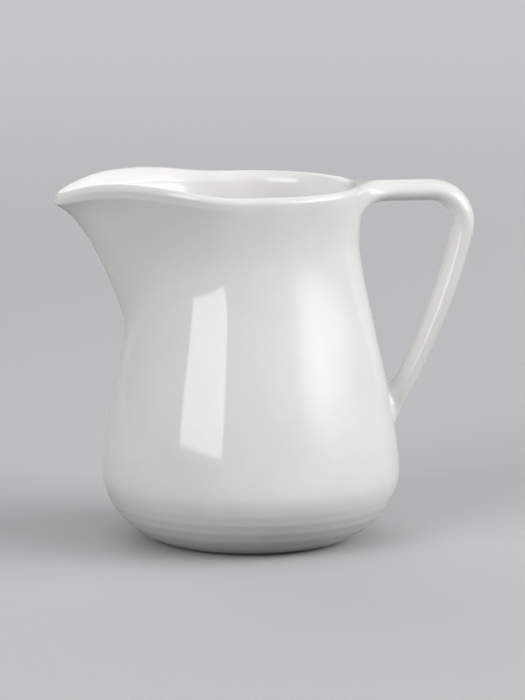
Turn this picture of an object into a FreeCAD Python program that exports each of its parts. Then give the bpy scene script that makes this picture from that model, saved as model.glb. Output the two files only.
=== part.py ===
import FreeCAD, Part
import math
import os

# A porcelain creamer: one glazed piece with a round belly, a gently waisted neck, a rolled
# lip, a pouring spout on the -X side and a loop handle on the +X side. It stands on z = 0
# with its axis of turning on Z. Lengths are in millimetres and angles in degrees.

doc = FreeCAD.newDocument("Creamer")
sheet = doc.addObject("Spreadsheet::Sheet", "Sizes")

SIZES = [
    # the turned body
    ("foot_radius", 23.0),         # outer edge of the ring that it stands on
    ("foot_ring_width", 3.0),
    ("foot_recess", 1.6),          # depth of the hollow inside the foot ring
    ("foot_recess_draft", 0.8),    # how much narrower the recess is at its roof
    ("underside_run", 11.2),       # length of the nearly flat run out of the foot ring
    ("underside_rise", 0.95),      # its rise
    ("belly_radius", 41.7),
    ("belly_height", 19.2),
    ("belly_tuck", 7.3),           # how long the belly stays upright below its widest level
    ("belly_fullness", 15.4),      # and above it
    ("neck_radius", 30.25),
    ("neck_drop", 16.8),           # narrowest level of the neck, below the rim
    ("neck_length", 9.1),          # how long the neck stays upright below its narrowest level
    ("rim_radius", 29.6),          # crest of the lip
    ("rim_height", 100.0),
    ("lip_roll", 1.8),             # radius of the lip's outer roll
    ("lip_flare", 7.2),            # how far below the roll the lip starts to flare
    ("lip_inner_width", 2.4),
    ("lip_inner_drop", 3.4),
    ("wall", 3.4),
    ("floor_thickness", 2.6),      # over the foot's recess
    ("floor_radius", 21.0),
    # the spout
    ("spout_reach", 54.25),        # axis to the crest of the spout's tip
    ("spout_half_angle", 35.6),    # between the spout's middle line and its side, in plan
    ("spout_nose", 3.5),           # rounding of the tip in plan
    ("spout_root_nose", 8.6),      # rounding of the front where the spout leaves the body
    ("spout_root_drop", 38.7),     # front line of the spout: its root, below the rim
    ("spout_root_radius", 34.6),
    ("spout_bend_drop", 12.75),    # where the tangents of its two ends cross
    ("spout_bend_radius", 43.8),
    ("spout_throat_drop", 3.15),   # its upper end
    ("spout_throat_radius", 54.65),
    ("spout_valley", 3.9),         # softness of the valley beside the spout at the rim
    ("spout_root_valley", 1.3),    # and at its root
    ("shoulder_start", 44.0),      # the spout's shoulders fade out between these two
    ("shoulder_end", 92.0),        # directions, counted from the spout's middle
    ("spout_rise", 2.65),          # crest above the rim, and drop of the tip below that crest
    ("spout_dip", 4.4),
    ("rise_start", 2.7),           # the crest climbs between these distances from the axis
    ("rise_end", 36.4),
    # the handle
    ("handle_thickness", 6.0),     # of the upper arm
    ("handle_low_thickness", 5.4), # at the belly
    ("handle_width", 10.0),
    ("handle_rise", 0.4),          # top of the upper arm above the rim
    ("handle_arm", 21.05),         # from the rim's crest to where the arm starts to turn down
    ("handle_corner", 9.6),        # radius of the middle line at the corner
    ("handle_corner_turn", 104.0),
    ("handle_corner_swell", 0.2),
    ("handle_bow", 190.0),         # radius of the long arm down to the belly
    ("handle_root_depth", 6.9),    # its middle line ends this far under the belly's surface
    ("handle_flare", 6.5),         # the blend into the neck: its length and its height
    ("handle_low_flare", 1.0),     # height of the blend into the belly
    ("handle_embed", 1.7),         # depth inside the wall at which the handle is cut off
]
for row, (alias, value) in enumerate(SIZES, start=1):
    sheet.set(f"A{row}", alias)
    sheet.set(f"B{row}", str(value))
    sheet.setAlias(f"B{row}", alias)
doc.recompute()


def size(alias):
    """Value of one named cell of the sheet."""
    return float(getattr(sheet, alias))


# ---------------------------------------------------------------- curves and surfaces

def level(drop):
    """Height of what is placed by its drop below the rim."""
    return size("rim_height") - size(drop)


def bezier(p0, p1, p2, p3, steps, last=False):
    """Points of a cubic Bezier curve at even parameter steps, with or without its last."""
    points = []
    for i in range(steps + (1 if last else 0)):
        t = i / steps
        weights = ((1 - t) ** 3, 3 * t * (1 - t) ** 2, 3 * t * t * (1 - t), t ** 3)
        corners = (p0, p1, p2, p3)
        points.append(tuple(sum(w * p[k] for w, p in zip(weights, corners)) for k in (0, 1)))
    return points


def smooth_step(x):
    """Climbs from 0 to 1 with no kink in its bend at either end."""
    x = min(max(x, 0.0), 1.0)
    return x ** 3 * (10 - 15 * x + 6 * x * x)


def poles_through(points, closed):
    """Poles that carry a uniform cubic B-spline through the points, to fourth order."""
    count = len(points)
    poles = []
    for i, point in enumerate(points):
        if not closed and i in (0, count - 1):
            poles.append(point)
            continue
        bend = points[i - 1] - point * 2 + points[(i + 1) % count]
        poles.append(point - bend * (1 / 6))
    return poles


def tube_solid(rows):
    """Solid bounded by a smooth skin over closed rows of points and by two flat ends."""
    grid = [poles_through(row, True) for row in rows]
    columns = [poles_through(list(column), False) for column in zip(*grid)]
    around, along = len(columns), len(rows)
    skin = Part.BSplineSurface()
    skin.buildFromPolesMultsKnots(
        columns,
        [1] * (around + 1), [4] + [1] * (along - 4) + [4],
        list(range(around + 1)), list(range(along - 2)),
        True, False, 3, 3)
    face = skin.toShape()
    ends = [Part.Face(Part.Wire([edge])) for edge in face.Edges if edge.isClosed()]
    shell = Part.Shell([face] + ends)
    shell.sewShape()
    solid = Part.Solid(shell)
    if solid.Volume < 0:
        solid.reverse()
    return solid


# ---------------------------------------------------------------- the jug's wall

def outer_profile():
    """(radius, height) up the outside, from the foot to the widest point of the lip."""
    foot = (size("foot_radius"), 0.0)
    belly = (size("belly_radius"), size("belly_height"))
    neck = (size("neck_radius"), level("neck_drop"))
    lip = (size("rim_radius") + size("lip_roll"), size("rim_height") - size("lip_roll"))
    run = (foot[0] + size("underside_run"), size("underside_rise"))
    points = bezier(foot, run, (belly[0], belly[1] - size("belly_tuck")), belly, steps=6)
    points += bezier(belly, (belly[0], belly[1] + size("belly_fullness")),
                     (neck[0], neck[1] - size("neck_length")), neck, steps=9)
    points += bezier(neck, (neck[0], neck[1] + size("lip_flare")),
                     (lip[0], lip[1] - size("lip_roll")), lip, steps=6)
    return points


def lip_profile():
    """Over the lip: its outer roll up to the crest, then its softer inner roll."""
    radius, height = size("rim_radius"), size("rim_height")
    steps = 4
    turns = [math.pi / 2 * i / steps for i in range(steps)]
    points = []
    for turn in turns:
        points.append((radius + size("lip_roll") * math.cos(turn),
                       height - size("lip_roll") * (1 - math.sin(turn))))
    for turn in turns:
        points.append((radius - size("lip_inner_width") * math.sin(turn),
                       height - size("lip_inner_drop") * (1 - math.cos(turn))))
    return points


def inner_profile():
    """(radius, height) down the inside, from under the lip to the edge of the flat floor."""
    lip = (size("rim_radius") - size("lip_inner_width"),
           size("rim_height") - size("lip_inner_drop"))
    neck = (size("neck_radius") - size("wall"), level("neck_drop"))
    belly = (size("belly_radius") - size("wall"), size("belly_height"))
    floor = (size("floor_radius"), size("foot_recess") + size("floor_thickness"))
    points = bezier(lip, (lip[0], lip[1] - size("lip_inner_drop")),
                    (neck[0], neck[1] + size("lip_inner_drop")), neck, steps=5)
    points += bezier(neck, (neck[0], neck[1] - size("neck_length")),
                     (belly[0], belly[1] + size("belly_fullness")), belly, steps=9)
    run = (floor[0] + size("underside_run"), floor[1] + size("underside_rise"))
    points += bezier(belly, (belly[0], belly[1] - size("belly_tuck") + size("wall") / 2),
                     run, floor, steps=6, last=True)
    return points


def spout_front(height):
    """Radius of the spout's front line at a height, and its slope: radius over height."""
    r0, z0 = size("spout_root_radius"), level("spout_root_drop")
    r1, z1 = size("spout_bend_radius"), level("spout_bend_drop")
    r2, z2 = size("spout_throat_radius"), level("spout_throat_drop")
    a, b, c = z0 - 2 * z1 + z2, 2 * (z1 - z0), z0 - min(height, z2)
    t = 2 * c / (-b - math.sqrt(max(b * b - 4 * a * c, 0.0)))
    radius = r0 + 2 * t * (r1 - r0) + t * t * (r0 - 2 * r1 + r2)
    slope = ((r1 - r0) + t * (r0 - 2 * r1 + r2)) / ((z1 - z0) + t * a)
    return radius, slope


def plan_radius(angle, radius, reach, nose, valley):
    """Plan outline in polar form: a circle blended with a round-nosed wedge, the spout."""
    half = math.radians(size("spout_half_angle"))
    across, along = math.cos(half), math.sin(half)
    line = reach * along + nose * across
    turn = min(angle, math.pi / 2 - half)
    a = (math.cos(turn) * along) ** 2 - (math.sin(turn) * across) ** 2
    b = line * math.cos(turn) * along
    c = line ** 2 - (nose * across) ** 2
    wedge = c / (b + math.sqrt(max(b * b - a * c, 0.0)))
    bulge = valley * math.log1p(math.exp(min((wedge - radius) / valley, 30.0)))
    start, end = math.radians(size("shoulder_start")), math.radians(size("shoulder_end"))
    return radius + bulge * (1 - smooth_step((angle - start) / (end - start)))


def wall_row(radius, height, side, angles):
    """One closed row of points of the wall, at a level of its outside, lip or inside."""
    share = max((height - level("spout_root_drop")) / size("spout_root_drop"), 0.0)
    nose = size("spout_root_nose") + (size("spout_nose") - size("spout_root_nose")) * share
    valley = size("spout_root_valley")
    valley += (size("spout_valley") - valley) * share
    half = math.radians(size("spout_half_angle"))
    nose_change = math.tan(math.pi / 4 - half / 2)
    front, slope = spout_front(height)
    if side == "outside":
        reach = front
    elif side == "lip":
        offset = radius - size("rim_radius")
        overhang = size("spout_throat_radius") - size("spout_reach")
        reach = size("spout_reach")
        reach += offset if offset < 0 else overhang * offset / size("lip_roll")
        nose = size("spout_nose") + offset * nose_change
    else:
        reach = min(front - size("wall") * math.hypot(1, slope),
                    size("spout_reach") - size("lip_inner_width"))
        nose -= size("lip_inner_width") * nose_change
    row = []
    for angle in angles:
        from_spout = min(angle, 2 * math.pi - angle)
        plan = radius
        if share > 0 or side == "outside":
            plan = plan_radius(from_spout, radius, reach, nose, valley)
        out = plan * math.cos(from_spout)
        climb = smooth_step((out - size("rise_start")) / (size("rise_end") - size("rise_start")))
        past = max(out - size("rise_end"), 0) / (size("spout_reach") - size("rise_end"))
        lift = (size("spout_rise") * climb - size("spout_dip") * past ** 2) * share ** 2
        row.append(FreeCAD.Vector(-out, -plan * math.sin(angle), height + lift))
    return row


def wall_solid():
    around = 60
    crowding = 0.7       # gathers the rows' points at the spout's tip
    evenly = [2 * math.pi * i / around for i in range(around)]
    angles = [turn - crowding * math.sin(turn) for turn in evenly]
    rows = [wall_row(r, z, "outside", angles) for r, z in outer_profile()]
    rows += [wall_row(r, z, "lip", angles) for r, z in lip_profile()]
    rows += [wall_row(r, z, "inside", angles) for r, z in inner_profile()]
    return tube_solid(rows)


def core_solid():
    """Everything inside the middle of the wall, which the handle's ends must not enter."""
    depth = size("handle_embed")
    side = [FreeCAD.Vector(r - depth, 0, z) for r, z in outer_profile() if z < level("neck_drop")]
    above = FreeCAD.Vector(size("rim_radius") - depth / 4, 0, 2 * size("rim_height"))
    lip = FreeCAD.Vector(above.x, 0, size("rim_height") - size("lip_roll"))
    curve = Part.BSplineCurve()
    curve.interpolate(side)
    foot, top = FreeCAD.Vector(0, 0, side[0].z), FreeCAD.Vector(0, 0, above.z)
    edges = [curve.toShape(), Part.makeLine(side[-1], lip), Part.makeLine(lip, above),
             Part.makeLine(above, top), Part.makeLine(top, foot), Part.makeLine(foot, side[0])]
    return Part.Face(Part.Wire(edges)).revolve(FreeCAD.Vector(), FreeCAD.Vector(0, 0, 1), 360)


# ---------------------------------------------------------------- the handle

def body_radius(height):
    """Outside radius of the turned body at a height."""
    profile = outer_profile()
    for (r0, z0), (r1, z1) in zip(profile, profile[1:]):
        if z0 <= height <= z1:
            return r0 + (r1 - r0) * (height - z0) / (z1 - z0)
    return 0.0


def arc(start, heading, radius, turn, steps):
    """(point, heading) along an arc that turns down, without its start. Headings are in
    radians from +X."""
    centre = start - FreeCAD.Vector(math.sin(heading), 0, math.cos(heading)) * radius
    stations = []
    for i in range(1, steps + 1):
        angle = heading + turn * i / steps
        outward = FreeCAD.Vector(math.sin(angle), 0, math.cos(angle))
        stations.append((centre + outward * radius, angle))
    return stations


def bow_turn(start, heading):
    """How far the long arm turns until it ends at its depth under the belly's surface."""
    step = math.radians(0.1)
    turn = step
    while turn < math.pi / 2:
        end = arc(start, heading, size("handle_bow"), turn, 1)[0][0]
        if body_radius(end.z) - end.x >= size("handle_root_depth"):
            break
        turn += step
    return turn


def handle_stations():
    """(point, heading) along the handle's middle line, from the lip to the belly."""
    start = FreeCAD.Vector(size("rim_radius") - 2 * size("handle_embed"), 0,
                           size("rim_height") + size("handle_rise") - size("handle_thickness") / 2)
    corner = FreeCAD.Vector(size("rim_radius") + size("handle_arm"), 0, start.z)
    steps = 12
    stations = [(start + (corner - start) * (i / steps), 0.0) for i in range(steps + 1)]
    stations += arc(corner, 0.0, size("handle_corner"), math.radians(size("handle_corner_turn")), 8)
    stations += arc(*stations[-1], size("handle_bow"), bow_turn(*stations[-1]), 12)
    return stations


def handle_solid():
    """Oval sections along the middle line, flared where they run into the body."""
    stations = handle_stations()
    reach, last = size("handle_flare"), stations[-1][0]
    corner = FreeCAD.Vector(size("rim_radius") + size("handle_arm") + size("handle_corner") / 2, 0,
                            size("rim_height") + size("handle_rise") - size("handle_corner") / 2)
    around = 16
    rows = []
    for place, heading in stations:
        outward = FreeCAD.Vector(math.sin(heading), 0, math.cos(heading))
        near_neck = 1 - min(max((place.x - size("neck_radius")) / reach, 0), 1)
        near_belly = 1 - min((place - last).Length / (2 * reach), 1)
        near_corner = max(1 - (place - corner).Length / size("handle_corner"), 0)
        droop = reach * near_neck ** 3
        swell = size("handle_low_flare") * near_belly ** 2
        swell += size("handle_corner_swell") * smooth_step(near_corner)
        taper = (stations[0][0].z - place.z) / (stations[0][0].z - last.z)
        thick = size("handle_thickness") / 2 + swell + droop / 2
        thick -= (size("handle_thickness") - size("handle_low_thickness")) / 2 * taper
        wide = size("handle_width") / 2 + swell + droop
        sink = droop / 2 + size("handle_rise") * near_neck
        middle = place - outward * sink
        row = []
        for i in range(around):
            turn = 2 * math.pi * i / around
            row.append(middle + outward * (thick * math.cos(turn))
                       + FreeCAD.Vector(0, wide * math.sin(turn), 0))
        rows.append(row)
    return tube_solid(rows)


# ---------------------------------------------------------------- the one-piece jug

def feature(name, shape):
    made = doc.addObject("Part::Feature", name)
    made.Shape = shape
    return made


wall = feature("Wall", wall_solid())
core = feature("Core", core_solid())
handle = feature("Handle", handle_solid())

handle_outside = doc.addObject("Part::Cut", "HandleOutside")
handle_outside.Base = handle
handle_outside.Tool = core

jug = doc.addObject("Part::Fuse", "Jug")
jug.Base = wall
jug.Tool = handle_outside

recess = doc.addObject("Part::Cone", "FootRecess")
recess.setExpression("Radius1", "Sizes.foot_radius - Sizes.foot_ring_width")
recess.setExpression("Radius2", "Sizes.foot_radius - Sizes.foot_ring_width"
                                " - Sizes.foot_recess_draft")
recess.setExpression("Height", "Sizes.foot_recess")

creamer = doc.addObject("Part::Cut", "Creamer")
creamer.Base = jug
creamer.Tool = recess
creamer.Label = "creamer"
doc.recompute()

for item in doc.Objects:
    if "Invalid" in item.State or "Error" in item.State:
        raise RuntimeError(f"{item.Name} did not build: {item.State}")
parts = [creamer]
os.makedirs("parts", exist_ok=True)
for item in parts:
    if item.Shape.isNull() or not item.Shape.isValid():
        raise RuntimeError(f"{item.Label} has no valid shape")
for item in parts:
    item.Shape.exportStep(f"parts/{item.Label}.step")
    print(item.Label, "solids", len(item.Shape.Solids), "volume", round(item.Shape.Volume))
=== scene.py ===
"""Looks of the porcelain creamer: one smooth glazed body with its spout, lip and handle.

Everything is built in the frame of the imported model: +Z up, the foot on z = 0, the spout
on -X and the handle on +X. Shape sizes are in millimetres, and MM turns them into metres
where something is made of them. Angles are written in degrees and used in radians.
"""
import math

import bpy
import numpy as np
from mathutils import Matrix, Vector


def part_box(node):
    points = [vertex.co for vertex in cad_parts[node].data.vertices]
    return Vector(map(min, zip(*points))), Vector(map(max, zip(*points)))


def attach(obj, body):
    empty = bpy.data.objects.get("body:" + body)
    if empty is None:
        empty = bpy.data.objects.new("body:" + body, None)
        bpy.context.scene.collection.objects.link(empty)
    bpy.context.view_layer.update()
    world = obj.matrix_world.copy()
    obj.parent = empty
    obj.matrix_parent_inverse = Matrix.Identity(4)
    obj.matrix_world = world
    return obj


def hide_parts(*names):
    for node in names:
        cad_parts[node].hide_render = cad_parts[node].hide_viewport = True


MM = 0.001
NODE = "creamer"

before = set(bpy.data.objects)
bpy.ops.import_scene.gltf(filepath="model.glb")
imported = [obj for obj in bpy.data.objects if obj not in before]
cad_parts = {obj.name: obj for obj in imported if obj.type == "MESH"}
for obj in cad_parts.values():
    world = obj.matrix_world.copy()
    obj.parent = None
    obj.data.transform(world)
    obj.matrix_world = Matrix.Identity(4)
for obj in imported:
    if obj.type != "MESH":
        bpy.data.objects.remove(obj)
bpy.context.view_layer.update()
cad_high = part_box(NODE)[1] / MM

# ---------------------------------------------------------------- sizes of the turned body

FOOT_RADIUS = 23.0            # outer edge of the ring that it stands on
FOOT_RING_WIDTH = 3.0
FOOT_RING_EASE = 0.5          # how far the corners of the ring's inner wall are eased
FOOT_RECESS = 1.6             # depth of the hollow inside the foot ring
FOOT_RECESS_DRAFT = 0.8       # the ring's inner wall leans in by this much
UNDERSIDE_RUN = 11.2          # length and rise of the nearly flat run out of the foot ring
UNDERSIDE_RISE = 0.95
BELLY_RADIUS = cad_high.y
BELLY_HEIGHT = 19.2
BELLY_TUCK = 7.3              # how long the belly stays upright below its widest level
BELLY_FULLNESS = 15.4         # and above it
RIM_RADIUS = 29.6             # crest of the lip
RIM_HEIGHT = 100.0
NECK_RADIUS = 30.25
NECK_HEIGHT = RIM_HEIGHT - 16.8
NECK_LENGTH = 9.1             # how long the neck stays upright below its narrowest level
LIP_FLARE = 7.2               # and above it, before it flares to the lip
LIP_ROLL = 1.8                # radius of the lip's outer roll
LIP_INNER_WIDTH = 2.4         # the inner side of the lip is a quarter oval this wide
LIP_INNER_DROP = 3.4          # and this high
WALL = 3.4
FLOOR_THICKNESS = 2.6
FLOOR_TOP = FOOT_RECESS + FLOOR_THICKNESS
FLOOR_RADIUS = 21.0           # flat part of the floor inside

# ---------------------------------------------------------------- sizes of the spout

SPOUT_REACH = 54.25           # axis to the crest of the spout's tip
SPOUT_HALF = math.radians(35.6)             # half the angle between its sides in plan
SPOUT_NOSE = 3.5              # rounding of the tip in plan, at the rim and at the root
SPOUT_ROOT_NOSE = 8.6
SPOUT_ROOT = (34.6, RIM_HEIGHT - 38.7)      # (radius, height) of the front line's root,
SPOUT_BEND = (43.8, RIM_HEIGHT - 12.75)     # of the point where its end tangents cross
SPOUT_THROAT = (54.65, RIM_HEIGHT - 3.15)   # and of its upper end
SPOUT_VALLEY = 3.9            # softness of the valley beside the spout, rim and root
SPOUT_ROOT_VALLEY = 1.3
SHOULDER_START = math.radians(44.0)         # the spout's shoulders fade out between these
SHOULDER_END = math.radians(92.0)
SPOUT_RISE = 2.65             # crest above the rim, and drop of the tip below that crest
SPOUT_DIP = 4.4
RISE_START = 2.7              # the crest climbs between these distances from the axis
RISE_END = 36.4

# ---------------------------------------------------------------- sizes of the handle

HANDLE_THICKNESS = 6.0        # of the upper arm
HANDLE_LOW_THICKNESS = 5.4    # at the belly
HANDLE_WIDTH = 10.0
HANDLE_RISE = 0.4             # top of the upper arm above the rim
HANDLE_ARM_END = RIM_RADIUS + 21.05   # axis to where the corner starts
HANDLE_CORNER = 9.6           # radius of the middle line at the corner
HANDLE_CORNER_TURN = math.radians(104.0)
HANDLE_CORNER_SWELL = 0.2
HANDLE_BOW = 190.0            # radius of the long arm down to the belly
HANDLE_START = 36.5           # where the arm's even section starts, from the axis
UPPER_SWEEP = 5.0             # and how much further out it starts at the arm's two sides
UPPER_ROOT = (12.5, 5.45, 4)  # half width, half height and squareness of the upper root
LOWER_ROOT = (6.7, 7.2, 2)    # and of the lower root, where a squareness of 2 is an oval
LOWER_ROOT_RISE = 0.1         # its middle lies this far above the arm's middle line
LOWER_GAP = 7.0               # the even section ends this far before the belly
LOWER_SHEAR = 3.6             # and its outer side this much later than its middle
ROOT_PULL = 1.1               # how strongly a root keeps to its direction at its two ends

# ---------------------------------------------------------------- turning rings

RING_PITCH = 2.75             # soft rings left by turning, on the lower body
RING_RELIEF = 0.09
RING_FADE_LOW = (1.0, 3.0)    # heights between which they come in
RING_FADE_HIGH = (6.0, 20.0)  # and die away

# ---------------------------------------------------------------- mesh density

COLUMNS = 256
DENSE_TOP = BELLY_HEIGHT + 4  # the rows lie closer together up to this height
TIP_CROWDING = 0.2            # gathers columns at the spout's tip
ENDS_CROWDING = 0.25          # and at both the tip and the handle
HOLE_CELLS = 16               # half the side of the square of cells that a root replaces
UPPER_REACH = 3.2             # the grid bends around each hole out to this many half sides
LOWER_REACH = 2.3
ARM_ROWS = 96
ROOT_ROWS = 16
INWARD = 0.97                 # shows a hole's edge which way is inward, as a share of its size
TINY = 1e-9                   # keeps a division by nothing away in the middle of a hole
BOW_STEPS = 4000              # tries along the bow for the place where it meets the belly
FOOT_WALL_ROWS = 14           # rows over the foot ring's inner wall
FOOT_RING_ROWS = 5            # and over its flat face
FOOT_ROOF_RINGS = (0.2, 0.4, 0.6, 0.8, 0.9)         # as shares of the recess's radius
FLOOR_RINGS = (0.93, 0.82, 0.66, 0.5, 0.34, 0.18)   # and of the inside floor's


# ---------------------------------------------------------------- curves

def smooth_step(x):
    """From 0 to 1 with no slope and no bend at either end."""
    x = np.clip(x, 0.0, 1.0)
    return x ** 3 * (10 - 15 * x + 6 * x * x)


def bezier(p0, p1, p2, p3, steps=300):
    """Points of a cubic Bezier curve without its last point."""
    t = (np.arange(steps) / steps)[:, None]
    p0, p1, p2, p3 = (np.array(p, float) for p in (p0, p1, p2, p3))
    return (1 - t) ** 3 * p0 + 3 * t * (1 - t) ** 2 * p1 + 3 * t * t * (1 - t) * p2 + t ** 3 * p3


def quarter(radius, height, wide, high, first, last, steps=120):
    """Points of a quarter oval around (radius, height), without its last point."""
    turn = np.radians(first + (last - first) * np.arange(steps) / steps)
    return np.stack([radius + wide * np.cos(turn), height + high * np.sin(turn)], axis=1)


def outside_profile():
    foot = (FOOT_RADIUS, 0.0)
    run = (FOOT_RADIUS + UNDERSIDE_RUN, UNDERSIDE_RISE)
    belly = (BELLY_RADIUS, BELLY_HEIGHT)
    neck = (NECK_RADIUS, NECK_HEIGHT)
    lip = (RIM_RADIUS + LIP_ROLL, RIM_HEIGHT - LIP_ROLL)
    return np.concatenate([
        bezier(foot, run, (belly[0], belly[1] - BELLY_TUCK), belly),
        bezier(belly, (belly[0], belly[1] + BELLY_FULLNESS), (neck[0], neck[1] - NECK_LENGTH), neck),
        bezier(neck, (neck[0], neck[1] + LIP_FLARE), (lip[0], lip[1] - LIP_ROLL), lip)])


def lip_profile():
    return np.concatenate([
        quarter(RIM_RADIUS, RIM_HEIGHT - LIP_ROLL, LIP_ROLL, LIP_ROLL, 0, 90),
        quarter(RIM_RADIUS, RIM_HEIGHT - LIP_INNER_DROP, LIP_INNER_WIDTH, LIP_INNER_DROP, 90, 180)])


def inside_profile():
    lip = (RIM_RADIUS - LIP_INNER_WIDTH, RIM_HEIGHT - LIP_INNER_DROP)
    neck = (NECK_RADIUS - WALL, NECK_HEIGHT)
    belly = (BELLY_RADIUS - WALL, BELLY_HEIGHT)
    floor = (FLOOR_RADIUS, FLOOR_TOP)
    run = (FLOOR_RADIUS + UNDERSIDE_RUN, FLOOR_TOP + UNDERSIDE_RISE)
    return np.concatenate([
        bezier(lip, (lip[0], lip[1] - LIP_INNER_DROP), (neck[0], neck[1] + LIP_INNER_DROP), neck),
        bezier(neck, (neck[0], neck[1] - NECK_LENGTH), (belly[0], belly[1] + BELLY_FULLNESS), belly),
        bezier(belly, (belly[0], belly[1] - BELLY_TUCK + WALL / 2), run, floor),
        [floor]])


class Profile:
    """The wall's section as one line, measured along its own length from the foot."""

    def __init__(self):
        parts = [outside_profile(), lip_profile(), inside_profile()]
        self.points = np.concatenate(parts)
        steps = np.hypot(*np.diff(self.points, axis=0).T)
        self.along = np.concatenate([[0.0], np.cumsum(steps)])
        self.lip_start = self.along[len(parts[0])]
        self.lip_end = self.along[len(parts[0]) + len(parts[1])]
        self.crest = self.along[len(parts[0]) + len(parts[1]) // 2]
        self.end = self.along[-1]

    def at(self, along):
        """(radius, height) at a place along the section."""
        return (np.interp(along, self.along, self.points[:, 0]),
                np.interp(along, self.along, self.points[:, 1]))

    def where(self, height):
        """Place along the outside at a height."""
        outside = self.along < self.lip_start
        return np.interp(height, self.points[outside, 1], self.along[outside])


PROFILE = Profile()


def spout_front(height):
    """Radius of the spout's front line at a height, and its slope: radius over height. The
    line is a quadratic Bezier curve, and t is its share at that height."""
    (r0, z0), (r1, z1), (r2, z2) = SPOUT_ROOT, SPOUT_BEND, SPOUT_THROAT
    a, b = z0 - 2 * z1 + z2, 2 * (z1 - z0)
    c = z0 - np.minimum(height, z2)
    t = 2 * c / (-b - np.sqrt(np.maximum(b * b - 4 * a * c, 0.0)))
    radius = r0 + 2 * t * (r1 - r0) + t * t * (r0 - 2 * r1 + r2)
    slope = ((r1 - r0) + t * (r0 - 2 * r1 + r2)) / ((z1 - z0) + t * a)
    return radius, slope


def spout_wedge(radius, height, share, lip, outside):
    """Reach and nose radius of the spout's plan, by zone: the outside follows the front line,
    the lip rolls over the crest and eases into the throat, and the inside keeps the wall."""
    nose_change = math.tan(math.pi / 4 - SPOUT_HALF / 2)
    offset = radius - RIM_RADIUS
    overhang = (SPOUT_THROAT[0] - SPOUT_REACH) / LIP_ROLL
    front, slope = spout_front(height)
    throat_front, throat_slope = spout_front(RIM_HEIGHT - LIP_INNER_DROP)
    throat_reach = throat_front - WALL * np.hypot(1, throat_slope)
    ease = (SPOUT_REACH - LIP_INNER_WIDTH - throat_reach) * ((RIM_HEIGHT - height) / LIP_INNER_DROP) ** 2
    lip_reach = SPOUT_REACH + np.where(offset < 0, offset - ease, overhang * offset)
    inner_reach = np.minimum(front - WALL * np.hypot(1, slope), throat_reach)
    reach = np.where(outside, front, np.where(lip, lip_reach, inner_reach))
    nose = SPOUT_ROOT_NOSE + (SPOUT_NOSE - SPOUT_ROOT_NOSE) * share
    lip_nose = SPOUT_NOSE + offset * nose_change
    inner_nose = nose - LIP_INNER_WIDTH * nose_change
    return reach, np.where(outside, nose, np.where(lip, lip_nose, inner_nose))


def plan_radius(turn, radius, reach, nose, valley):
    """Plan outline in polar form: a circle blended with a round-nosed wedge, the spout. The
    wedge is a branch of a hyperbola, which runs out into the spout's two straight sides, and
    a, b and c are those of the quadratic equation for its radius."""
    across, along = math.cos(SPOUT_HALF), math.sin(SPOUT_HALF)
    line = reach * along + nose * across
    limited = np.minimum(turn, math.pi / 2 - SPOUT_HALF)
    a = (np.cos(limited) * along) ** 2 - (np.sin(limited) * across) ** 2
    b = line * np.cos(limited) * along
    c = line ** 2 - (nose * across) ** 2
    wedge = c / (b + np.sqrt(np.maximum(b * b - a * c, 0.0)))
    bulge = valley * np.log1p(np.exp(np.clip((wedge - radius) / valley, -60.0, 30.0)))
    return radius + bulge * (1 - smooth_step((turn - SHOULDER_START) / (SHOULDER_END - SHOULDER_START)))


def ring_relief(height):
    """How far the turning rings stand in or out of the lower body."""
    coming = smooth_step((height - RING_FADE_LOW[0]) / (RING_FADE_LOW[1] - RING_FADE_LOW[0]))
    going = 1 - smooth_step((height - RING_FADE_HIGH[0]) / (RING_FADE_HIGH[1] - RING_FADE_HIGH[0]))
    return RING_RELIEF / 2 * coming * going * np.cos(2 * math.pi * height / RING_PITCH)


def wall_points(angle, along):
    """Points of the wall's surface, in millimetres. The angle is counted from the spout, and
    the second value runs along the section."""
    radius, height = PROFILE.at(along)
    lip = (along >= PROFILE.lip_start) & (along < PROFILE.lip_end)
    inside = along >= PROFILE.lip_end
    outside = ~lip & ~inside
    share = np.maximum((height - SPOUT_ROOT[1]) / (RIM_HEIGHT - SPOUT_ROOT[1]), 0.0)
    valley = SPOUT_ROOT_VALLEY + (SPOUT_VALLEY - SPOUT_ROOT_VALLEY) * share
    reach, nose = spout_wedge(radius, height, share, lip, outside)
    turn = np.abs(np.mod(angle + math.pi, 2 * math.pi) - math.pi)
    plan = plan_radius(turn, radius, reach, nose, valley)
    plan = np.where((share > 0) | outside, plan, radius)
    plan = plan + np.where(outside, ring_relief(height), 0.0)
    out = plan * np.cos(turn)
    climb = smooth_step((out - RISE_START) / (RISE_END - RISE_START))
    past = np.maximum(out - RISE_END, 0) / (SPOUT_REACH - RISE_END)
    lift = (SPOUT_RISE * climb - SPOUT_DIP * past ** 2) * share ** 2
    return np.stack([-out, -plan * np.sin(angle), height + lift], axis=-1)


# ---------------------------------------------------------------- the handle's even section

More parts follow.
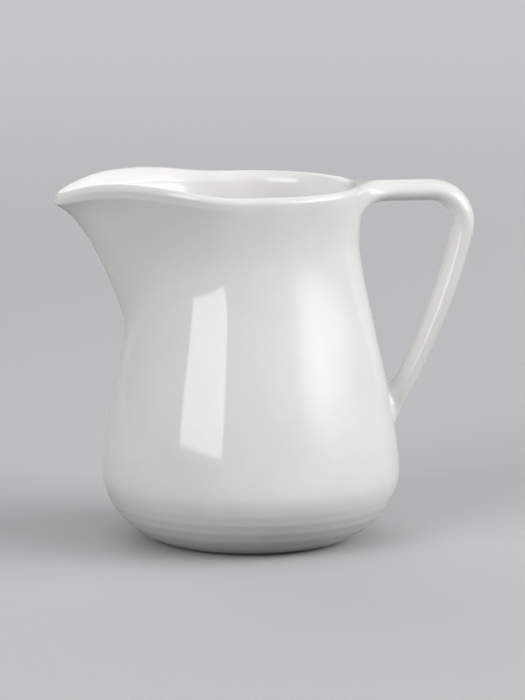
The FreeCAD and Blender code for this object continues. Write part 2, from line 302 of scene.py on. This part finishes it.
class Arm:
    """The handle's middle line, measured along its length from HANDLE_START."""

    def __init__(self):
        self.start = np.array([HANDLE_START, RIM_HEIGHT + HANDLE_RISE - HANDLE_THICKNESS / 2])
        self.straight = HANDLE_ARM_END - HANDLE_START
        self.corner = HANDLE_CORNER * HANDLE_CORNER_TURN
        centre = self.start + [self.straight, -HANDLE_CORNER]
        outward = np.array([math.sin(HANDLE_CORNER_TURN), math.cos(HANDLE_CORNER_TURN)])
        self.corner_centre = centre
        self.bow_centre = centre + outward * (HANDLE_CORNER - HANDLE_BOW)
        self.belly = self.straight + self.corner + self.way_to_belly()
        self.low_end = self.at(np.array(self.belly))[0]

    def way_to_belly(self):
        """Length of the bow until its middle line meets the body's surface. It is looked for
        over an eighth of a turn, which reaches well past the belly."""
        ways = np.linspace(0, HANDLE_BOW * math.pi / 4, BOW_STEPS)
        turn = HANDLE_CORNER_TURN + ways / HANDLE_BOW
        x = self.bow_centre[0] + HANDLE_BOW * np.sin(turn)
        z = self.bow_centre[1] + HANDLE_BOW * np.cos(turn)
        radius = PROFILE.at(PROFILE.where(z))[0]
        return ways[np.argmax(x < radius)]

    def at(self, way):
        """Places (x, z) and headings, in radians below +X, along the middle line."""
        corner_turn = np.clip((way - self.straight) / HANDLE_CORNER, 0, HANDLE_CORNER_TURN)
        bow_turn = np.maximum(way - self.straight - self.corner, 0) / HANDLE_BOW
        heading = corner_turn + bow_turn
        outward = np.stack([np.sin(heading), np.cos(heading)], axis=-1)
        straight = self.start + np.stack([way, np.zeros_like(way)], axis=-1)
        corner = self.corner_centre + outward * HANDLE_CORNER
        bow = self.bow_centre + outward * HANDLE_BOW
        place = np.where((way < self.straight)[..., None], straight,
                         np.where((bow_turn > 0)[..., None], bow, corner))
        return place, heading

    def surface(self, way, side):
        """Points of the arm's skin. The side is an angle: 0 is +Y and 90 degrees outward."""
        place, heading = self.at(way)
        middle = self.straight + self.corner / 2
        swell = HANDLE_CORNER_SWELL * smooth_step(1 - np.abs(way - middle) / HANDLE_CORNER)
        top, belly = self.start[1], self.low_end[1]
        down = np.clip((top - place[..., 1]) / (top - belly), 0, 1)
        thickness = HANDLE_THICKNESS + (HANDLE_LOW_THICKNESS - HANDLE_THICKNESS) * down
        out = (thickness / 2 + swell) * np.sin(side)
        return np.stack([place[..., 0] + out * np.sin(heading),
                         (HANDLE_WIDTH / 2 + swell) * np.cos(side),
                         place[..., 1] + out * np.cos(heading)], axis=-1)


ARM = Arm()


# ---------------------------------------------------------------- one welded mesh

def row_places():
    """Places of the grid's rows along the section, denser at the rings and over the lip. Each
    stretch has its own number of rows."""
    dense_end, neck = PROFILE.where(DENSE_TOP), PROFILE.where(NECK_HEIGHT)
    stretches = [(0.0, dense_end, 52),
                 (dense_end, neck, 68),
                 (neck, PROFILE.lip_start, 24),
                 (PROFILE.lip_start, PROFILE.crest, 10),
                 (PROFILE.crest, PROFILE.lip_end, 14),
                 (PROFILE.lip_end, PROFILE.end, 76)]
    rows = [np.linspace(a, b, n, endpoint=False) for a, b, n in stretches]
    return np.concatenate(rows + [[PROFILE.end]])


def column_angles():
    """Angles of the grid's columns, counted from the spout."""
    turn = 2 * math.pi * np.arange(COLUMNS) / COLUMNS
    return turn - TIP_CROWDING * np.sin(turn) - ENDS_CROWDING * np.sin(2 * turn)


class Root:
    """A square of the grid's cells, opened to a rounded hole that the handle grows out of.
    Up and across run from -1 to 1 over the square."""

    def __init__(self, row, middle, size, reach):
        half_width, half_height, self.squareness = size
        self.row = row
        self.reach = reach
        self.column = COLUMNS // 2
        self.middle = middle
        self.half_height = half_height
        self.half_angle = half_width / PROFILE.at(middle)[0]

    def cell(self, i, j):
        """(up, across) of a row and column of the grid."""
        return (i - self.row) / HOLE_CELLS, (j - self.column) / HOLE_CELLS

    def place(self, up, across):
        """(angle, along) of a point of the square, once it is opened to the hole."""
        ring = np.maximum(np.abs(up), np.abs(across))
        p = self.squareness
        length = np.maximum((np.abs(up) ** p + np.abs(across) ** p) ** (1 / p), TINY)
        return (math.pi + self.half_angle * ring * across / length,
                self.middle + self.half_height * ring * up / length)

    def bend(self, angle, along, i, j):
        """Moves the grid's (angle, along) so that the square's edge becomes the hole's."""
        up, across = self.cell(i, j)
        ring = np.maximum(np.abs(up), np.abs(across))
        share = 1 - smooth_step((ring - 1) / (self.reach - 1))
        hole_angle, hole_along = self.place(up, across)
        return angle + (hole_angle - angle) * share, along + (hole_along - along) * share

    def edge(self):
        """(row, column) steps around the square, the way that the handle's section runs."""
        n = HOLE_CELLS
        steps = [(k, n) for k in range(-n, n)] + [(n, -k) for k in range(-n, n)]
        steps += [(-k, -n) for k in range(-n, n)] + [(-n, k) for k in range(-n, n)]
        return np.array(steps)


def hermite(start, start_way, end, end_way, rows):
    """Rows of points between two rings, leaving and arriving along the given ways."""
    t = (np.arange(1, rows) / rows)[:, None, None]
    return ((2 * t ** 3 - 3 * t ** 2 + 1) * start + (t ** 3 - 2 * t ** 2 + t) * start_way
            + (3 * t ** 2 - 2 * t ** 3) * end + (t ** 3 - t ** 2) * end_way)


class Builder:
    """Collects the vertices and faces of one mesh."""

    def __init__(self):
        self.points, self.faces, self.count = [], [], 0

    def add(self, points):
        """Adds points and gives their vertices' numbers."""
        points = np.asarray(points).reshape(-1, 3)
        first = self.count
        self.points.append(points)
        self.count += len(points)
        return np.arange(first, self.count)

    def strip(self, low, high):
        """Quads between two closed rings of as many vertices."""
        self.faces += np.stack([low, np.roll(low, -1), np.roll(high, -1), high], axis=1).tolist()

    def cap(self, ring, centre, upward):
        """Triangles from a closed ring of vertices to one in its middle, facing up or down."""
        order = zip(ring, np.roll(ring, -1))
        self.faces += [(a, b, centre) if upward else (b, a, centre) for a, b in order]


def unit(ways):
    return ways / np.linalg.norm(ways, axis=1, keepdims=True)


def ring_points(radius, height, angles):
    """One level ring of points around the axis."""
    return np.stack([-radius * np.cos(angles), -radius * np.sin(angles),
                     np.full_like(angles, height)], axis=1)


def foot_rows():
    """(radius, height) from the middle of the recess's roof out to the foot ring's edge."""
    inner = FOOT_RADIUS - FOOT_RING_WIDTH
    top, ease = inner - FOOT_RECESS_DRAFT, FOOT_RING_EASE
    roof = [(inner * share, FOOT_RECESS) for share in FOOT_ROOF_RINGS]
    wall = bezier((top - ease, FOOT_RECESS), (top, FOOT_RECESS),
                  (inner - ease, 0), (inner + ease, 0), FOOT_WALL_ROWS)
    width = FOOT_RING_WIDTH - ease
    face = [(inner + ease + width * row / FOOT_RING_ROWS, 0.0) for row in range(FOOT_RING_ROWS)]
    return roof + wall.tolist() + face


def make_roots(rows):
    """The handle's upper root, just below the lip's crest, and its lower one on the belly."""
    crest_row = int(np.argmin(np.abs(rows - PROFILE.crest)))
    upper = Root(crest_row - HOLE_CELLS, PROFILE.crest - UPPER_ROOT[1], UPPER_ROOT, UPPER_REACH)
    at_belly = PROFILE.where(ARM.low_end[1]) + LOWER_ROOT_RISE
    lower = Root(int(np.argmin(np.abs(rows - at_belly))), at_belly, LOWER_ROOT, LOWER_REACH)
    return upper, lower


def add_wall(build, rows, angles, roots):
    """The wall with its lip and spout, left open at the roots. Gives the grid's vertices."""
    i, j = np.meshgrid(np.arange(len(rows)), np.arange(COLUMNS), indexing="ij")
    along, angle = np.meshgrid(rows, angles, indexing="ij")
    for root in roots:
        angle, along = root.bend(angle, along, i, j)
    grid = build.add(wall_points(angle, along)).reshape(len(rows), COLUMNS)
    hidden = np.zeros((len(rows) - 1, COLUMNS), bool)
    for root in roots:
        hidden[root.row - HOLE_CELLS:root.row + HOLE_CELLS,
               root.column - HOLE_CELLS:root.column + HOLE_CELLS] = True
    turned = np.roll(grid, -1, axis=1)
    corners = np.stack([grid[:-1], turned[:-1], turned[1:], grid[1:]], axis=-1)
    build.faces += corners[~hidden].tolist()
    return grid


def add_floor(build, angles, wall_end):
    """The floor inside the jug, from the wall's last row to the middle."""
    rings = [wall_end]
    rings += [build.add(ring_points(FLOOR_RADIUS * share, FLOOR_TOP, angles)) for share in FLOOR_RINGS]
    for outer, inner in zip(rings, rings[1:]):
        build.strip(outer, inner)
    build.cap(rings[-1], build.add([(0, 0, FLOOR_TOP)])[0], True)


def add_foot(build, angles, wall_start):
    """The underside, from the middle of its recess out to the wall's first row."""
    centre = build.add([(0, 0, FOOT_RECESS)])[0]
    rings = [build.add(ring_points(radius, height, angles)) for radius, height in foot_rows()]
    rings.append(wall_start)
    build.cap(rings[0], centre, False)
    for inner, outer in zip(rings, rings[1:]):
        build.strip(inner, outer)


def add_arm(build, edge):
    """The handle's even section. Gives its rows of points and of vertices."""
    side = np.arctan2(edge[:, 0], edge[:, 1])
    start_way = UPPER_SWEEP * np.cos(side) ** 2
    end_way = ARM.belly - LOWER_GAP + LOWER_SHEAR * np.sin(side)
    share = (np.arange(ARM_ROWS + 1) / ARM_ROWS)[:, None]
    ways = start_way + share * (end_way - start_way)
    points = ARM.surface(ways, np.broadcast_to(side, ways.shape))
    rows = [build.add(row) for row in points]
    for low, high in zip(rows, rows[1:]):
        build.strip(low, high)
    return points, rows


def add_root(build, grid, root, direction, ring, next_ring, ring_row):
    """Skin between a hole in the wall and the arm's end ring. It leaves the wall along the
    wall's own surface and arrives along the arm's. The direction is 1 at the arm's start and
    -1 at its end."""
    edge = root.edge()
    up, across = direction * edge[:, 0] / HOLE_CELLS, edge[:, 1] / HOLE_CELLS
    start = wall_points(*root.place(up, across))
    inward = unit(wall_points(*root.place(up * INWARD, across * INWARD)) - start)
    away = unit(next_ring - ring)
    pull = np.linalg.norm(ring - start, axis=1, keepdims=True) * ROOT_PULL
    skin = hermite(start, inward * pull, ring, away * pull, ROOT_ROWS)
    hole = grid[root.row + direction * edge[:, 0], root.column + edge[:, 1]]
    rows = [hole] + [build.add(row) for row in skin] + [ring_row]
    for low, high in zip(rows, rows[1:]):
        if direction > 0:
            build.strip(low, high)
        else:
            build.strip(high, low)


def jug_mesh():
    rows, angles = row_places(), column_angles()
    upper, lower = make_roots(rows)
    build = Builder()
    grid = add_wall(build, rows, angles, (upper, lower))
    add_floor(build, angles, grid[-1])
    add_foot(build, angles, grid[0])
    arm, arm_rows = add_arm(build, upper.edge())
    add_root(build, grid, upper, 1, arm[0], arm[1], arm_rows[0])
    add_root(build, grid, lower, -1, arm[-1], arm[-2], arm_rows[-1])
    mesh = bpy.data.meshes.new(NODE)
    mesh.from_pydata((np.concatenate(build.points) * MM).tolist(), [], build.faces)
    mesh.validate()
    mesh.shade_smooth()
    return mesh


def make_jug():
    jug = bpy.data.objects.new("glazed_body", jug_mesh())
    bpy.context.scene.collection.objects.link(jug)
    return jug


# ---------------------------------------------------------------- materials

GLAZE = (0.855, 0.848, 0.834)       # colour of the glaze over the white body
GLAZE_POOLED = (0.82, 0.814, 0.8)   # where the glaze lies a little thicker
GLAZE_IOR = 1.52
GLAZE_ROUGHNESS = (0.05, 0.1)       # it varies between these in soft patches
BISCUIT = (0.70, 0.665, 0.60)       # the unglazed ring that the jug stands on
BISCUIT_SHADE = 0.86                # the darkest of its grains, as a share of its colour
BISCUIT_ROUGHNESS = 0.7
BISCUIT_HEIGHT = 0.5                # the glaze is wiped off up to this height
BISCUIT_EDGE = 0.4                  # and is gone below this share of it
CLOUD_SIZE = 22                     # sizes of the features, in millimetres
POLISH_SIZE = 9
GRAIN_SIZE = 0.35
WAVE_SIZE = 16
WAVE_RELIEF = 0.10                  # and how far they stand out of the surface
WAVE_STRETCH = (1, 1, 0.6)          # the waves are longer upward than around
PEEL_SIZE = 1.6
PEEL_RELIEF = 0.004
CLOUD_RANGE = (0.38, 0.66)          # the parts of each noise's range that are spread out
POLISH_RANGE = (0.3, 0.7)
GRAIN_RANGE = (0.35, 0.65)


class Nodes:
    """Short ways to add and join the nodes of one material or lamp."""

    def __init__(self, owner):
        owner.use_nodes = True
        self.nodes, self.links = owner.node_tree.nodes, owner.node_tree.links

    def add(self, kind, **settings):
        node = self.nodes.new(kind)
        for name, value in settings.items():
            setattr(node, name, value)
        return node

    def feed(self, socket, value):
        """Links an output to a socket, or sets the socket's own value."""
        if hasattr(value, "is_output"):
            self.links.new(value, socket)
        else:
            socket.default_value = value

    def math(self, operation, *values):
        """One Math node with up to three inputs."""
        node = self.add("ShaderNodeMath", operation=operation)
        for socket, value in zip(node.inputs, values):
            self.feed(socket, value)
        return node.outputs[0]

    def noise(self, place, size_mm, detail=2.0, stretch=None):
        """Noise whose features are about this many millimetres across."""
        if stretch:
            spread = self.add("ShaderNodeVectorMath", operation="MULTIPLY")
            self.feed(spread.inputs[0], place)
            spread.inputs[1].default_value = stretch
            place = spread.outputs[0]
        node = self.add("ShaderNodeTexNoise")
        self.feed(node.inputs["Vector"], place)
        node.inputs["Scale"].default_value = 1 / (size_mm * MM)
        node.inputs["Detail"].default_value = detail
        return node.outputs["Fac"]

    def ramp(self, value, low, high, first, last):
        """Maps low..high smoothly to first..last."""
        node = self.add("ShaderNodeMapRange", interpolation_type="SMOOTHSTEP")
        for name, number in zip(("Value", "From Min", "From Max", "To Min", "To Max"),
                                (value, low, high, first, last)):
            self.feed(node.inputs[name], number)
        return node.outputs["Result"]

    def blend(self, share, first, second):
        """Mixes two colours, each an output or three numbers."""
        node = self.add("ShaderNodeMix", data_type="RGBA")
        self.feed(node.inputs["Factor"], share)
        for name, colour in (("A", first), ("B", second)):
            socket = next(i for i in node.inputs if i.name == name and i.type == "RGBA")
            self.feed(socket, colour if hasattr(colour, "is_output") else (*colour, 1))
        return next(o for o in node.outputs if o.type == "RGBA")

    def mix_shader(self, share, first, second):
        node = self.add("ShaderNodeMixShader")
        for socket, value in zip(node.inputs, (share, first.outputs[0], second.outputs[0])):
            self.feed(socket, value)
        return node

    def bump(self, height, relief_mm, below=None):
        """Normal of a surface that stands out by this many millimetres, over another one."""
        node = self.add("ShaderNodeBump")
        node.inputs["Strength"].default_value = 1.0
        node.inputs["Distance"].default_value = relief_mm * MM
        self.feed(node.inputs["Height"], height)
        if below:
            self.feed(node.inputs["Normal"], below)
        return node.outputs["Normal"]


def porcelain():
    """Clear glaze on a white body: faint clouds in its colour, a slightly wavy surface and
    a fine orange peel. The foot ring is bare biscuit."""
    material = bpy.data.materials.new("porcelain_glaze")
    tree = Nodes(material)
    shader = tree.nodes["Principled BSDF"]
    place = tree.add("ShaderNodeTexCoord").outputs["Object"]
    height = tree.add("ShaderNodeSeparateXYZ")
    tree.feed(height.inputs[0], place)
    bare_height = BISCUIT_HEIGHT * MM
    bare = tree.ramp(height.outputs["Z"], bare_height, BISCUIT_EDGE * bare_height, 0.0, 1.0)

    clouds = tree.ramp(tree.noise(place, CLOUD_SIZE, detail=3.0), *CLOUD_RANGE, 0.0, 1.0)
    glaze = tree.blend(clouds, GLAZE, GLAZE_POOLED)
    grain = tree.ramp(tree.noise(place, GRAIN_SIZE), *GRAIN_RANGE, BISCUIT_SHADE, 1.0)
    biscuit = tree.add("ShaderNodeVectorMath", operation="SCALE")
    biscuit.inputs[0].default_value = BISCUIT
    tree.feed(biscuit.inputs["Scale"], grain)
    tree.feed(shader.inputs["Base Color"], tree.blend(bare, glaze, biscuit.outputs[0]))

    polish = tree.ramp(tree.noise(place, POLISH_SIZE), *POLISH_RANGE, *GLAZE_ROUGHNESS)
    unglazed = tree.math("MULTIPLY", bare, BISCUIT_ROUGHNESS)
    tree.feed(shader.inputs["Roughness"], tree.math("MAXIMUM", polish, unglazed))
    shader.inputs["IOR"].default_value = GLAZE_IOR

    wavy = tree.noise(place, WAVE_SIZE, detail=1.0, stretch=WAVE_STRETCH)
    waves = tree.bump(wavy, WAVE_RELIEF)
    peel = tree.bump(tree.noise(place, PEEL_SIZE, detail=1.0), PEEL_RELIEF, below=waves)
    tree.feed(shader.inputs["Normal"], peel)
    return material


FLOOR_SEEN = (0.56, 0.565, 0.575, 1)    # as the camera and mirror reflections see it
FLOOR_BOUNCE = (0.10, 0.10, 0.103, 1)   # as it lights the object, dark enough to leave the
                                        # object's underside in shade
FLOOR_FAR = (0.4, 1.4)                  # metres from the axis between which lamp light and
                                        # shadow give way to one even tone
FLOOR_HALF = 6.0                        # half its side in metres


def floor_material():
    """A plain floor: the camera and mirror reflections see its pale tone with the object's
    shadow on it, and light that bounces off it to the object is dimmer."""
    material = bpy.data.materials.new("pale_floor")
    tree = Nodes(material)
    tree.nodes.remove(tree.nodes["Principled BSDF"])
    place = tree.add("ShaderNodeTexCoord").outputs["Object"]
    distance = tree.add("ShaderNodeVectorMath", operation="LENGTH")
    tree.feed(distance.inputs[0], place)
    far = tree.ramp(distance.outputs["Value"], *FLOOR_FAR, 0.0, 1.0)
    ray = tree.add("ShaderNodeLightPath").outputs
    seen = tree.math("MAXIMUM", ray["Is Camera Ray"],
                     tree.math("MAXIMUM", ray["Is Glossy Ray"], ray["Is Transmission Ray"]))
    near_tone, far_tone = tree.add("ShaderNodeBsdfDiffuse"), tree.add("ShaderNodeEmission")
    bounce = tree.add("ShaderNodeBsdfDiffuse")
    near_tone.inputs["Color"].default_value = FLOOR_SEEN
    far_tone.inputs["Color"].default_value = FLOOR_SEEN
    bounce.inputs["Color"].default_value = FLOOR_BOUNCE
    tone = tree.mix_shader(far, near_tone, far_tone)
    tree.feed(tree.nodes["Material Output"].inputs["Surface"],
              tree.mix_shader(seen, bounce, tone).outputs[0])
    return material


# ---------------------------------------------------------------- studio

CAMERA_YAW = math.radians(9.0)      # the camera stands this far round towards the spout
CAMERA_PITCH = math.radians(9.627)  # and looks down by this much
CAMERA_DISTANCE = 1281.9            # to the middle of the foot, measured along its axis
CAMERA_LENS = 234.3
FOOT_LEFT = 3.31                    # the middle of the foot lies this far left of the axis
FOOT_BELOW = 52.43                  # and below it

# name, azimuth, lowest and highest elevation, width, distance, radiance and soft edge
LAMPS = [
    ("softbox", -40, 5, 36, 38, 2.2, 4.4, 0.05),
    ("wide_left", -30, 34, 74, 50, 2.3, 0.6, 0.3),
    ("wide_right", 78, 2, 46, 80, 2.4, 6.5, 0.42),
    ("behind", -160, 12, 60, 60, 2.4, 1.3, 0.35),
    ("overhead", 180, 66, 114, 48, 2.4, 0.3, 0.3),
]
WORLD_STRENGTH = 0.3


def make_floor():
    a, b = -FLOOR_HALF, FLOOR_HALF
    mesh = bpy.data.meshes.new("floor")
    mesh.from_pydata([(a, a, 0), (b, a, 0), (b, b, 0), (a, b, 0)], [], [(0, 1, 2, 3)])
    floor = bpy.data.objects.new("floor", mesh)
    bpy.context.scene.collection.objects.link(floor)
    mesh.materials.append(floor_material())


def area_light(name, azimuth, low, high, width, distance, radiance, soft_edge):
    """A rectangle facing the object, at a distance in metres. The azimuth is counted from the
    camera, positive to its right. The lamp reaches between two elevations and is this many
    degrees wide, and it fades out towards its edges over this share of its sides."""
    turn = math.radians(azimuth) - math.pi / 2 - CAMERA_YAW
    rise = math.radians((low + high) / 2)
    light = bpy.data.lights.new(name, "AREA")
    light.shape = "RECTANGLE"
    light.size = 2 * distance * math.tan(math.radians(width) / 2)
    light.size_y = 2 * distance * math.tan(math.radians(high - low) / 2)
    light.energy = radiance * math.pi * light.size * light.size_y
    tree = Nodes(light)
    sides = tree.add("ShaderNodeSeparateXYZ")
    tree.feed(sides.inputs[0], tree.add("ShaderNodeNewGeometry").outputs["Parametric"])
    inward = [tree.math("PINGPONG", sides.outputs[axis], 0.5) for axis in ("X", "Y")]
    fades = [tree.ramp(way_in, 0.0, soft_edge, 0.0, 1.0) for way_in in inward]
    tree.feed(tree.nodes["Emission"].inputs["Strength"], tree.math("MULTIPLY", *fades))
    lamp = bpy.data.objects.new(name, light)
    bpy.context.scene.collection.objects.link(lamp)
    level = math.cos(rise)
    outward = Vector((math.cos(turn) * level, math.sin(turn) * level, math.sin(rise)))
    lamp.location = Vector((0, 0, RIM_HEIGHT / 2 * MM)) + outward * distance
    lamp.rotation_euler = outward.to_track_quat("Z", "Y").to_euler()


def make_world():
    world = bpy.data.worlds.new("studio")
    bpy.context.scene.world = world
    world.use_nodes = True
    background = world.node_tree.nodes["Background"]
    background.inputs["Color"].default_value = (1.0, 1.0, 1.0, 1)
    background.inputs["Strength"].default_value = WORLD_STRENGTH


def make_camera():
    forward = Vector((math.sin(CAMERA_YAW) * math.cos(CAMERA_PITCH),
                      math.cos(CAMERA_YAW) * math.cos(CAMERA_PITCH), -math.sin(CAMERA_PITCH)))
    right = forward.cross(Vector((0, 0, 1))).normalized()
    up = right.cross(forward)
    data = bpy.data.cameras.new("camera")
    data.lens = CAMERA_LENS
    data.sensor_width = 36.0
    data.clip_start, data.clip_end = 0.05, 50.0
    camera = bpy.data.objects.new("camera", data)
    bpy.context.scene.collection.objects.link(camera)
    place = (right * FOOT_LEFT + up * FOOT_BELOW - forward * CAMERA_DISTANCE) * MM
    turn = Matrix((right, up, -forward)).transposed()
    camera.matrix_world = Matrix.Translation(place) @ turn.to_4x4()
    bpy.context.scene.camera = camera


make_camera()
jug = make_jug()
jug.data.materials.append(porcelain())
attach(jug, "root")
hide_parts(NODE)
make_floor()
make_world()
for lamp_facts in LAMPS:
    area_light(*lamp_facts)

scene = bpy.context.scene
scene.view_settings.view_transform = "Standard"
